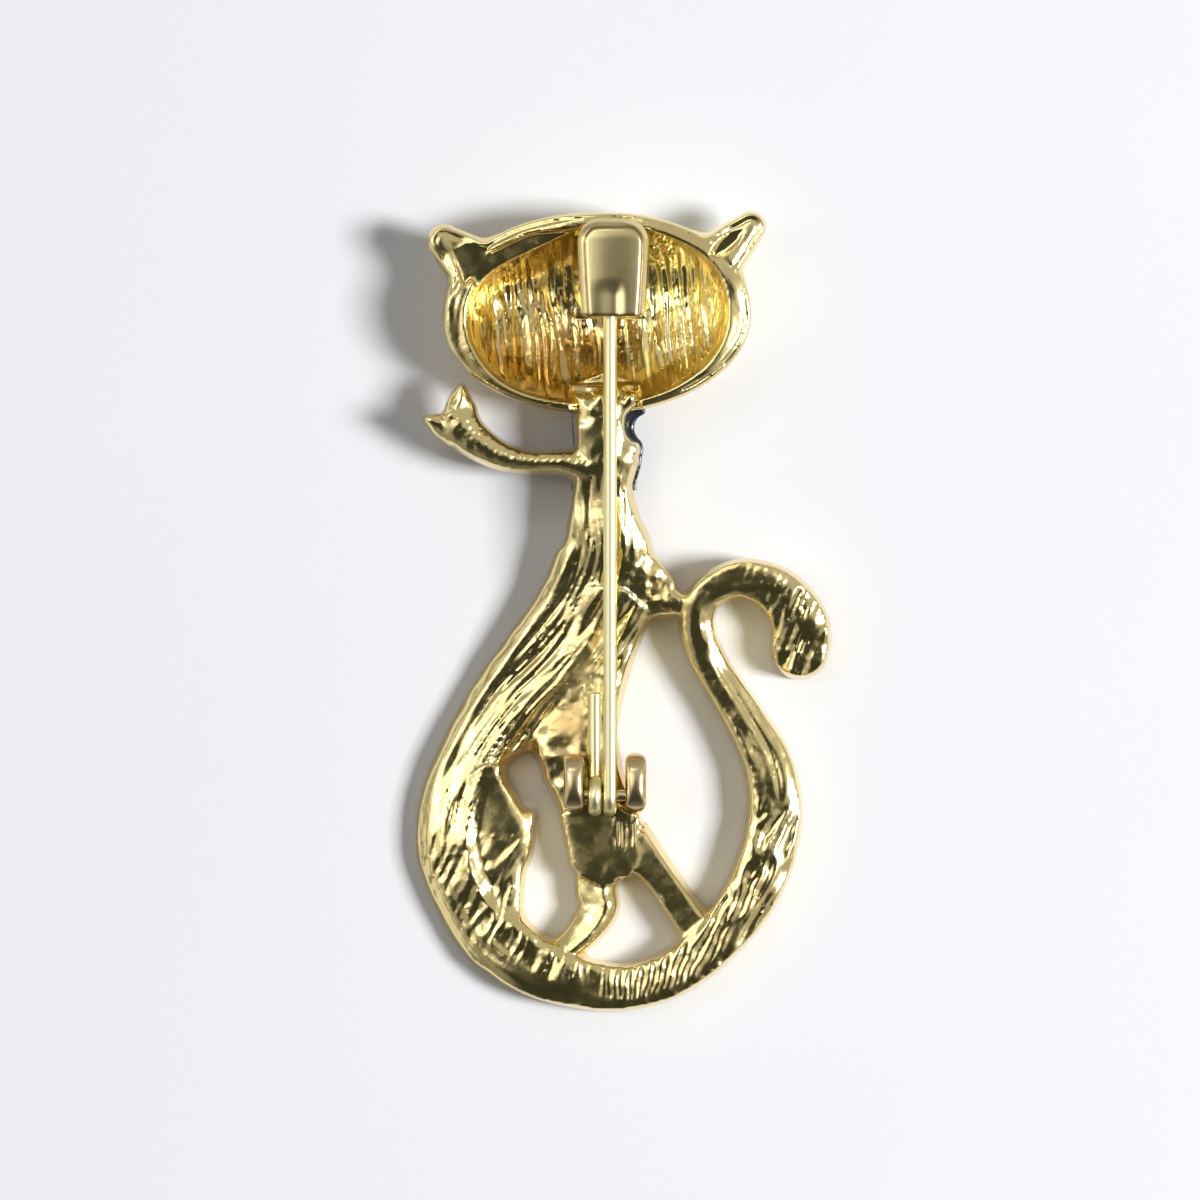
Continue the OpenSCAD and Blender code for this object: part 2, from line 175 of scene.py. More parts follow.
# Rows of each stroke: across as a share of loopWidth, up as a share of bodyHeight, width as a share
# of its named width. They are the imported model's own rows.
strokes = {
    "back": ("backWidth", [
        (.487, 1.054, .70), (.487, 1.026, .74), (.477, 1.000, .57), (.472, .980, .53), (.487, .935, .65),
        (.479, .884, .60), (.482, .826, .73), (.485, .759, .98), (.430, .668, 1.00), (.345, .590, .99),
        (.251, .524, .86), (.164, .442, .76), (.108, .356, .75), (.092, .273, .71)]),
    "tail": ("tailWidth", [
        (.128, .199, 1.13), (.192, .137, 1.20), (.285, .085, 1.07), (.395, .055, .93), (.523, .0427, .83),
        (.634, .060, .83), (.731, .100, .86), (.828, .169, .92), (.889, .243, .97), (.920, .335, .95),
        (.900, .420, .87), (.838, .497, .72), (.772, .564, .65), (.726, .625, .65), (.722, .672, .63),
        (.759, .709, .63), (.841, .727, .70), (.928, .705, .85), (.982, .655, 1.00), (.985, .608, 1.03),
        (.980, .578, .90), (.977, .560, .50)]),
    "bed": ("legWidth", [
        (.518, .692, 1.95), (.467, .608, 1.95), (.438, .524, 1.85), (.410, .449, 2.25), (.446, .374, 1.95),
        (.479, .307, 2.10), (.482, .253, 1.85), (.480, .228, 1.30)]),
    "bridge": ("legWidth", [
        (.520, .730, 1.80), (.583, .708, 1.85), (.630, .696, 1.30), (.655, .688, .88), (.695, .683, .62),
        (.735, .684, .62)]),
    "haunch": ("legWidth", [
        (.182, .407, 1.00), (.205, .348, 1.30), (.226, .298, 1.64), (.210, .240, 1.49), (.205, .181, 1.49),
        (.238, .126, 1.20), (.330, .090, 1.10)]),
    "frontLeg": ("legWidth", [
        (.472, .250, 1.33), (.462, .206, 1.13), (.469, .176, 1.08), (.433, .139, .95), (.385, .109, .80),
        (.325, .088, .80)]),
    "rearLeg": ("legWidth", [
        (.544, .293, 1.25), (.621, .233, .97), (.682, .176, .97), (.728, .131, 1.03)]),
    "arm": ("armWidth", [
        (.446, .915, 1.20), (.369, .922, .88), (.292, .922, .88), (.221, .932, 1.02), (.159, .955, 1.24),
        (.115, .980, 1.34), (.090, .997, .80)]),
    "upperToe": ("armWidth", [
        (.122, .977, 1.20), (.115, 1.010, 1.14), (.114, 1.026, .90), (.117, 1.043, .52), (.118, 1.054, .24)]),
    "outerToe": ("armWidth", [(.105, .972, 1.10), (.062, .985, .90), (.036, .992, .52), (.018, .995, .24)]),
}


def sizedRows(name):  # rows in millimetres: place across, place up, half width
    width, rows = strokes[name]
    rows = np.array(rows) * (cat["loopWidth"], cat["bodyHeight"], cat[width] / 2)
    return rows - (*cat["middle"], 0)


def smoothPath(rows, step=0.25):  # Catmull-Rom curve through the rows, points a step apart
    p = np.vstack([rows[:1], rows, rows[-1:]])
    a, b, c, d = p[:-3, None], p[1:-2, None], p[2:-1, None], p[3:, None]
    count = max(2, int(np.linalg.norm(np.diff(rows[:, :2], axis=0), axis=1).max() / step))
    t = np.linspace(0, 1, count, endpoint=False)[None, :, None]
    curve = 0.5 * (2 * b + (c - a) * t + (2 * a - 5 * b + 4 * c - d) * t ** 2
                   + (3 * b - a - 3 * c + d) * t ** 3)
    return np.vstack([curve.reshape(-1, 3), rows[-1:]])


def strokePlan(rows, x, y):
    # For each point p of the plan and each piece of the path with ends a, b and end tangents ta, tb:
    # da = (p - a).ta, db = (p - b).tb, t = da / (da - db), inside = w(t) - |r| - 3 max(-da, db, 0).
    # The greatest inside wins. Gives the length s along the path, the offset r to its right, w and e.
    path = smoothPath(rows)
    a, b = path[:-1], path[1:]
    ab = (b - a)[:, :2]
    length = np.linalg.norm(ab, axis=1)
    flat = ab / length[:, None]
    tangent = np.vstack([flat[:1], flat[:-1] + flat[1:], flat[-1:]])
    tangent /= np.linalg.norm(tangent, axis=1)[:, None]
    ta, tb = tangent[:-1], tangent[1:]
    start = np.concatenate([[0], np.cumsum(length)[:-1]])
    total = start[-1] + length[-1]
    gx, gy = planGrid(x, y)
    low, high = path.min(0) - path[:, 2].max() - 1.2, path.max(0) + path[:, 2].max() + 1.2
    near = (gx > low[0]) & (gx < high[0]) & (gy > low[1]) & (gy < high[1])
    s, r, w = (np.zeros(gx.shape) for _ in range(3))
    e = np.full(gx.shape, -far)
    for block in np.array_split(np.flatnonzero(near), 60):  # the plan in parts, to spare memory
        px, py = gx.flat[block][:, None], gy.flat[block][:, None]
        da = (px - a[:, 0]) * ta[:, 0] + (py - a[:, 1]) * ta[:, 1]
        db = (px - b[:, 0]) * tb[:, 0] + (py - b[:, 1]) * tb[:, 1]
        span = da - db
        t = np.clip(da / np.where(span > 0.02, span, 0.02), 0, 1)
        right = (px - a[:, 0] - t * ab[:, 0]) * flat[:, 1] - (py - a[:, 1] - t * ab[:, 1]) * flat[:, 0]
        beyond = np.maximum(np.maximum(-da, db), 0)
        inside = a[:, 2] + t * (b - a)[:, 2] - np.abs(right) - 3 * beyond - far * (span < 0.02)
        k = inside.argmax(1)
        pick = (np.arange(len(block)), k)
        s.flat[block] = start[k] + t[pick] * length[k]
        r.flat[block] = right[pick]
        w.flat[block] = a[k, 2] + t[pick] * (b - a)[k, 2]
        e.flat[block] = np.minimum(inside[pick], np.minimum(s.flat[block], total - s.flat[block]) + 0.05)
    return s, r, w, e


def frontHeight(y):  # how far the casting's front stands above the table
    return cat["archHeight"] * ramp((y + cat["middle"][1]) / cat["bodyHeight"], 0.5, 0.95)


def roofOf(t, top, shoulder, crest, power):
    # height across a stroke: it falls from the crest to both shoulders as a power of the offset
    u = np.where(t > crest, (t - crest) / (1 - crest), (crest - t) / (1 + crest))
    return top - (top - shoulder) * np.clip(np.abs(u), 0, 1.2) ** power


# The relief on the casting's back: what a maker would change is here.
relief = {
    "knifePitch": 0.36, "knifeLength": 6.0, "knifeDepth": 0.20, "ribPitch": 0.72, "ribDepth": 0.20,
    "tailCut": 0.16, "tailPitch": 0.62, "hookCut": 0.20, "hookPitch": 0.50, "hookFine": 0.08,
    "dash": 0.09, "lumps": 0.12, "waves": 0.13, "swell": 0.06, "roughness": 0.03, "bevel": 0.60,
    "channel": 1.5, "corner": 0.35,
}
# The sweep's parts, as (back, tail, neck): width of the wall's slope, height of the shoulder, and the
# power with which the roof falls.
sweep = {"wall": (0.38, 0.20, 0.25), "shoulder": (1.65, 2.05, 1.9), "power": (1.25, 2.8, 2.2)}
# Where the sweep changes, as lengths along back and tail.
zones = {
    "stumpEnds": (2.5, 5.0), "neckEnds": (4.0, 7.5), "channelStarts": (9, 13), "channelEnds": (40, 47),
    "lowStarts": (31, 35), "lowEnds": (66, 69), "tailStarts": (38, 44), "hollowStarts": (38, 42),
    "uprightStarts": (46, 51), "slantStarts": (57, 60), "stemStarts": (76, 80), "stemEnds": (90, 94),
    "hookStarts": (84.5, 87), "fineEnds": (93, 95),
}
# The other strokes' roofs: how far the crest lies below the casting's thickness, height of the
# shoulders, place of the crest across the stroke, and the power with which the roof falls.
sections = {
    "bridge": (0.3, 1.7, 0, 2.5), "haunch": (0.2, 1.9, -0.2, 3), "frontLeg": (0.22, 1.75, -0.35, 1.4),
    "rearLeg": (0.28, 2.1, 0.1, 6), "arm": (0.15, 1.7, 0.1, 1.8), "toe": (0.45, 1.5, 0, 1.8),
}
bed = {"padStarts": (13.2, 13.6), "padEnds": (15.2, 16.2), "padSunk": 0.12, "padCut": 0.10, "cut": 0.17}
bridge = {"left": 1.4, "right": 3.0, "low": 0.6, "high": 2.4, "deep": 0.12}  # its pocket
haunch = {
    "scrapedStarts": (14.2, 14.9), "scrapedEnds": (18.0, 19.0), "ribsStart": (17.6, 18.6), "scrape": 0.10,
    "ribs": 0.09, "slope": 0.05, "corner": [(-8.2, -13.2), (-5.95, -13.35), (-6.4, -16.6)],
}
keyhole = {"x": -6.63, "y": -10.79, "radius": 1.1}
neck = {  # discs on the neck's right side: middle across, middle up, radius
    "swelling": [(0.0, 12.3, 0.9), (0.5, 13.35, 0.8), (0.3, 10.75, 0.88), (0.1, 10.0, 0.95)],
    "notch": [(1.35, 12.32, 1.12)], "coatNotch": [(1.64, 12.2, 0.98)],
}


def discs(rows, gx, gy):  # distance inside the nearest disc's edge
    return np.max([size - np.hypot(gx - cx, gy - cy) for cx, cy, size in rows], axis=0)


def waves(s, pitch):  # 0 in the valleys, 1 on the ridges
    return 0.5 + 0.5 * np.sin(2 * math.pi * s / pitch)


def zone(s, name):  # 0 before the zone, 1 after it
    return ramp(s, *zones[name])


def between(s, start, end):
    return zone(s, start) * (1 - zone(s, end))


def sectionOf(name, t):
    sunk, shoulder, crest, power = sections[name]
    return roofOf(t, cat["thickness"] - sunk, shoulder, crest, power)


def planOf(x, y):  # the grid, and the noises and directions that the strokes share
    gx, gy = planGrid(x, y)
    # the low tail's ribs stand nearly upright below the body and lean more to either side
    lean = np.radians(64 + 22 * bump(gx, -1.0, 4.5))
    across = gx * np.sin(lean) - (gy + 24) * np.cos(lean) + 0.12 * cloud(gx / 0.8, gy / 0.8, 7)
    along = gx * np.cos(lean) + (gy + 24) * np.sin(lean)
    return SimpleNamespace(x=x, y=y, gx=gx, gy=gy, across=across, along=along, fine=grainOf(gx, gy),
                           lumps=cloud(gx / 0.7, gy / 0.7, 4), swell=cloud(gx / 1.7, gy / 1.7, 5))


def strokeOn(plan, name):  # length along it, offset as a share of half its width, distance inside
    s, r, w, e = strokePlan(sizedRows(name), plan.x, plan.y)
    return s, r / np.maximum(w, 0.1), e


def tailCuts(plan, s, r, t, onTail, onLow, slanted):  # depth of the cuts of tail and hook
    gx, gy = plan.gx, plan.gy
    upright, onHook = between(s, "uprightStarts", "slantStarts"), zone(s, "hookStarts")
    uneven = knifeMarks(plan.across, plan.along, 0.55, 2.8, 15)
    ribs = upright * waves(plan.across, relief["ribPitch"]) + (1 - upright) * uneven
    outside = 0.35 * upright
    inward = 1 - ramp(t, outside, outside + 0.3) * zone(s, "hollowStarts") * (1 - slanted)
    cut = relief["ribDepth"] * (0.65 + 0.35 * slanted) * (1 - ribs) * onLow * inward
    streaks = knifeMarks(r, s, relief["tailPitch"], 6.0, 16)
    share = (0.35 + 0.65 * ramp(t, -0.2, 0.3)) * onTail * (1 - onLow) * (1 - onHook)
    cut += relief["tailCut"] * (1 - streaks) * share
    crossing = knifeMarks(0.92 * gx - 0.40 * gy, 0.40 * gx + 0.92 * gy, relief["hookPitch"], 2.2, 18)
    finest = relief["hookFine"] * plan.fine * (1 - zone(s, "fineEnds"))
    return cut + (relief["hookCut"] * (1 - crossing) + finest) * onHook


def sweepRoof(plan):  # the long sweep: back, then tail
    s, r, w, e = strokePlan(np.vstack([sizedRows("back"), sizedRows("tail")]), plan.x, plan.y)
    t = r / np.maximum(w, 0.1)
    onNeck, onTail = 1 - zone(s, "neckEnds"), zone(s, "tailStarts")
    onBack = (1 - onNeck) * (1 - onTail)
    onLow, onStem = between(s, "lowStarts", "lowEnds"), between(s, "stemStarts", "stemEnds")
    slanted = between(s, "slantStarts", "lowEnds")
    wallWidth, shoulder, power = (a * onBack + b * onTail + c * onNeck for a, b, c in sweep.values())
    wall = wallWidth * (1 + 0.25 * cloud(s / 1.1, t, 6))
    # beside the bevelled outer edge of the back runs a channel, level across its width
    channel = between(s, "channelStarts", "channelEnds") * ramp(t, 0.05, 0.3)
    held = np.minimum(t, 1 - np.minimum(relief["channel"] / np.maximum(w, 0.1), 0.72))
    t = t + (held - t) * channel
    inChannel = channel * (1 - ramp(e, relief["channel"] - 0.15, relief["channel"] + 0.1))
    crest = 0.4 * onStem - 0.4 * onBack - 0.5 * onTail
    height = roofOf(t, cat["thickness"], shoulder, crest, power)
    marks = knifeMarks(r - 0.03 * s, s, relief["knifePitch"], relief["knifeLength"], 11)
    inner = ramp(e, wall + 0.1, wall + 0.4)
    height -= relief["knifeDepth"] * (1 - marks) * onBack * (1 - onLow) * inner * (1 - 0.7 * inChannel)
    height -= relief["bevel"] * (1 - ramp(e, 0.1, 1.0)) * channel + 0.06 * inChannel
    height -= tailCuts(plan, s, r, t, onTail, onLow, slanted) * ramp(e, 0.1, 0.4)
    dashes = ramp(knifeMarks(s, 0 * s, 0.45, 1.0, 17), 0.5, 0.8)
    height += relief["dash"] * dashes * bump(t, 0.80, 0.09) * onTail * onLow * (1 - slanted)
    height += relief["lumps"] * (plan.lumps - 0.3) * onNeck
    height += relief["roughness"] * plan.fine * (0.3 + 0.7 * ramp(-t, -0.4, 0.2))
    height += (relief["waves"] * (1 - onNeck) - 0.06 * onTail) * cloud(r / 1.1, s / 3.5, 14)
    height += relief["swell"] * plan.swell
    # the neck stands a little higher, most at its stump, whose end breaks off unevenly
    height += (0.12 + 0.30 * (1 - zone(s, "stumpEnds"))) * onNeck
    height -= 1.1 * (1 - ramp(s + 0.5 * plan.lumps, 0.1, 1.2))
    # the hook ends in a round tip
    ending = (plan.gx > 9.3) & (plan.gy < -2.6) & (plan.gy > -5.5)
    e = np.where(ending, np.minimum(e, 2.0 - np.hypot(plan.gx - 11.75, plan.gy + 2.6)), e)
    return e, height, wall


def bedRoof(plan):  # the middle of the body, and the flat pad under the hinge
    gx, gy, fine, lumps = plan.gx, plan.gy, plan.fine, plan.lumps
    _, t, e = strokeOn(plan, "bed")
    onPad = ramp(-gy, *bed["padStarts"])
    top = cat["thickness"] - bed["padSunk"] * onPad
    height = roofOf(t, top, 2.0 + 0.35 * onPad, 0, 3.5 + 6 * onPad) - 0.05
    height += np.clip(0.10 * (gx + 2.2), -0.25, 0.25) * ramp(gy, -9.0, -6.5) * (1 - ramp(gy, -3.5, -1.5))
    marks = knifeMarks(0.84 * gx - 0.54 * gy, 0.54 * gx + 0.84 * gy, 0.42, 5.0, 12)
    height -= bed["cut"] * (1 - marks) * ramp(gy, -5.0, -3.0)
    pad = knifeMarks(gx, gy, 0.35, 3.0, 13)
    height -= bed["padCut"] * (1 - pad) * onPad * ramp(gx, -1.8, -0.4) * (1 - ramp(-gy, *bed["padEnds"]))
    height += (0.03 * fine + 0.10 * lumps) * (1 - onPad) * (1 - 0.6 * ramp(gy, -5, -3))
    height += 0.12 * plan.swell * (1 - onPad)
    height += 0.10 * (fine + 0.7 * lumps) * bump(np.hypot((gx + 2.6) * 0.9, (gy + 4.8) * 0.6), 0, 1.5)
    return e, height, 0.3 - 0.16 * onPad


def haunchRoof(plan):  # a smooth, a scraped and a ribbed facet, a little below the sweep
    gx, gy = plan.gx, plan.gy
    _, t, e = strokeOn(plan, "haunch")
    scraped = ramp(-gy, *haunch["scrapedStarts"]) * (1 - ramp(-gy, *haunch["scrapedEnds"]))
    marks = knifeMarks(0.82 * gx - 0.57 * gy, 0.57 * gx + 0.82 * gy, 0.55, 2.6, 21)
    height = sectionOf("haunch", t) - haunch["scrape"] * (1 - marks) * scraped + haunch["slope"] * (gy + 16)
    ribbed = np.clip(gx + 8, -1.5, 1.5) - 1 + knifeMarks(plan.across, plan.along, 0.5, 3.0, 22)
    return e, height + haunch["ribs"] * ribbed * ramp(-gy, *haunch["ribsStart"])


def bodyMaps(x, y):  # heights of the back's surface and of the front's over the plan
    plan = planOf(x, y)
    gx, gy, lumps, fine = plan.gx, plan.gy, plan.lumps, plan.fine
    base = frontHeight(gy)
    edge, roof, draft = np.full(gx.shape, -far), np.full(gx.shape, -far), np.full(gx.shape, 0.3)

    def add(e, height, wall, blend=0.3, corner=relief["corner"]):  # joins a stroke to the others
        nonlocal edge, roof, draft
        draft = np.where(e > edge, wall, draft)
        edge = softMax(edge, e, corner)
        roof = softMax(roof, base + height - 5 * above(-e - 0.05), blend)

    add(*sweepRoof(plan))
    add(*bedRoof(plan), 0.3, 0.9)

    # bridge to the tail, with a shallow square pocket
    _, t, e = strokeOn(plan, "bridge")
    add(e, sectionOf("bridge", t) + 0.08 * lumps + 0.07 * fine, 0.25)
    sides = gx - bridge["left"], bridge["right"] - gx, gy - bridge["low"], bridge["high"] - gy
    roof = roof - bridge["deep"] * ramp(np.min(sides, axis=0), 0, 0.45)

    # haunch, with one more facet at its corner
    add(*haunchRoof(plan), 0.3, 0.4)
    corner = triangle(haunch["corner"], gx, gy, [0.2] * 3)
    add(corner, cat["thickness"] - 0.5 + 0.09 * (gx + 6.5), 0.2, 0.25)

    # front leg: a long facet on its left and a bright ridge on its right
    _, t, e = strokeOn(plan, "frontLeg")
    add(e, sectionOf("frontLeg", t) + 0.04 * lumps, 0.26, 0.15, 0.5)

    # rear leg: flat, with a wider slope at its upper right
    _, t, e = strokeOn(plan, "rearLeg")
    add(e, sectionOf("rearLeg", t) + 0.02 * lumps, np.where(t < 0, 0.34, 0.22), 0.1, 0.5)

    # arm and toes: a hatched upper half, a smooth lower half
    s, t, e = strokeOn(plan, "arm")
    hatch = waves(s + 0.5 * t + 0.2 * cloud(s / 0.5, t, 31), 0.42)
    height = sectionOf("arm", t) - 0.10 * (1 - hatch) * ramp(t, -0.2, 0.2) * ramp(e, 0.1, 0.3)
    add(e, height + 0.03 * fine + 0.06 * lumps * ramp(s, 5, 9), 0.22, 0.2, 0.5)
    for name in ("upperToe", "outerToe"):
        _, t, e = strokeOn(plan, name)
        add(e, sectionOf("toe", t) + 0.10 * lumps + 0.04 * fine, 0.2, 0.3, 0.3)

    # the neck swells on its right; then come its round notch and the keyhole's round top
    e = discs(neck["swelling"], gx, gy)
    height = cat["thickness"] - 0.22 - 0.45 * (1 - np.clip(e / 0.9, 0, 1)) ** 2
    add(e, height, 0.2, 0.25, 0.1)
    edge = softMin(edge, -discs(neck["notch"], gx, gy), 0.08)
    edge = softMin(edge, np.hypot(gx - keyhole["x"], gy - keyhole["y"]) - keyhole["radius"], 0.2)
    # the walls start at wallFoot above the front and rise by wallRise over the draft's width
    top = softMin(base + cat["wallFoot"] + cat["wallRise"] / draft * edge, roof, 0.22)
    bottom = base + 0.55 * above(0.75 - edge) ** 2 + 3 * above(-edge)
    return top, bottom


def heightField(top, bottom, z, step):
    # f = the greater of (z - top) and (bottom - z), each divided by the slope's length
    def slope(h):
        gx, gy = np.gradient(h, step)
        return np.sqrt(1 + np.clip(gx ** 2 + gy ** 2, 0, 16))
    upper = (z[None, None, :] - top[:, :, None]) / slope(top)[:, :, None]
    lower = (bottom[:, :, None] - z[None, None, :]) / slope(bottom)[:, :, None]
    return softMax(upper, lower, 0.12)


pinX, hingeY, hingeZ = -0.8993, -12.2636, 4.1
hinge = {
    "middleX": -1.2493, "space": 2.6, "lugThick": 1.5, "lugLong": 4.0, "lugShift": 0.85, "lugTop": 5.55,
    "lugEdge": 0.72, "lugLow": 1.4, "lugArch": 2.2, "rivet": 0.8, "boreGap": 0.02, "coilRadius": 0.9,
    "wire": 0.9, "narrowFrom": 4.9, "narrowing": 0.35,
}


def roundBox(x, y, z, low, high, radius):  # distance to a box with round edges, negative inside
    d = []
    for q, a, b in ((x, low[0], high[0]), (y, low[1], high[1]), (z, low[2], high[2])):
        d.append(np.abs(q - (a + b) / 2) - (b - a) / 2 + radius)
    outside = np.sqrt(sum(above(v) ** 2 for v in d))
    return outside + np.minimum(np.maximum(np.maximum(d[0], d[1]), d[2]), 0) - radius


def bodyField(x, y, z):
    top, bottom = bodyMaps(x, y)
    return heightField(top, bottom, z, x[1] - x[0])


def lugField(x, y, z):  # the two lugs, with the rivet's bore through both
    h = SimpleNamespace(**hinge)
    gx, gy, gz = x[:, None, None], y[None, :, None], z[None, None, :]
    middleY = hingeY + h.lugShift
    f = far
    arch = np.hypot(gy - middleY, gz - h.lugTop + h.lugArch) - h.lugArch - far * (gz < 3)
    for side in (-1, 1):
        cx = h.middleX + side * (h.space + h.lugThick) / 2
        low = (cx - h.lugThick / 2, middleY - h.lugLong / 2, h.lugLow)
        high = (cx + h.lugThick / 2, middleY + h.lugLong / 2, h.lugTop)
        lug = softMax(roundBox(gx, gy, gz, low, high, h.lugEdge), arch + 0 * gx, 0.3)
        narrowTop = np.abs(gx - cx) + h.narrowing * above(gz - h.narrowFrom) - h.lugThick / 2
        f = np.minimum(f, softMax(lug, narrowTop + 0 * gy, 0.25))
    bore = np.hypot(gy - hingeY, gz - hingeZ) - h.rivet / 2 - h.boreGap
    return np.maximum(f, -bore + 0 * gx)


head = {
    "x": -1.7677, "y": 19.5594, "width": 20.7, "up": 7.0, "down": 6.55, "rim": 5.2, "floor": 1.1,
    "rimSide": 1.6, "rimUp": 0.8, "rimDown": 0.6, "tilt": 0.27, "ribPitch": 0.56, "ribDepth": 0.20,
    "earTop": 5.1, "earThick": 2.2, "earBlend": 0.35, "turn": 1.2, "scale": 0.994, "square": 2.15,
    "wallFoot": 4.45, "wallSlope": 2.6, "domePower": 4.5, "bowlPower": 2.3, "waves": 0.14,
    "angleOval": (8.75, 6),  # angles are taken on an oval with these halves
    # where the bowl's edge moves in (above 0) or out (below 0): share, angle from +X, its width
    "edgeMoves": [(0.12, 122, 24), (-0.035, 35, 20), (-0.03, 225, 20)],
}
# ear corners from the head's middle as shares of half its width and of its height above, with radius
ears = {
    "left": [(-.98, .71, 1.01), (-.71, .63, .50), (-.865, .36, .66)],
    "right": [(.985, .85, .92), (.70, .68, .50), (.865, .50, .66)],
}
pocket = {  # hollows of the rim and their levels
    "left": [(-11.4, 24.35), (-9.1, 23.9), (-10.5, 21.9)], "leftLevel": 4.62,
    "ledge": 1.0,  # width of the step along the bowl's top left
    "right": [
        (5.80, 23.55, .15), (6.35, 23.95, .46), (6.9, 24.45, .52), (7.4, 24.85, .42), (7.95, 25.30, .12)],
    "rightLevel": 4.55,
}
# solder that ran beside the catch: across, up, radius, top
solder = [(2.0, 25.0, .45, 5.05), (2.55, 24.5, .40, 4.95), (2.0, 24.1, .40, 4.75), (2.9, 23.9, .30, 4.5)]


def ovalShare(x, y, halfWidth, up, down, square):  # 1 on the outline, less inside
    upper = (np.abs(x / halfWidth) ** square + np.abs(y / up) ** square) ** (1 / square)
    return np.where(y > 0, upper, np.hypot(x / halfWidth, y / down))


def inwards(share, step):  # how far inside the outline where share is 1, in millimetres
    gx, gy = np.gradient(share, step)
    return (1 - share) / np.maximum(np.hypot(gx, gy), 1e-3)


def triangle(corners, x, y, radii):  # how far inside a triangle with round corners
    c = np.array(corners)
    lines, caps = [], []
    for k in range(3):
        a, b = c[k], c[(k + 1) % 3]
        ab = b - a
        t = np.clip(((x - a[0]) * ab[0] + (y - a[1]) * ab[1]) / (ab @ ab), 0, 1)
        reach = np.hypot(x - a[0] - t * ab[0], y - a[1] - t * ab[1])
        caps.append(radii[k] * (1 - t) + radii[(k + 1) % 3] * t - reach)
        lines.append((ab[0] * (y - a[1]) - ab[1] * (x - a[0])) / math.hypot(*ab))
    turn = np.sign(np.cross(c[1] - c[0], c[2] - c[0]))
    flat = np.min(np.array(lines) * turn, axis=0)
    return np.maximum(np.max(caps, axis=0), np.where(flat > 0, flat + min(radii), -far))


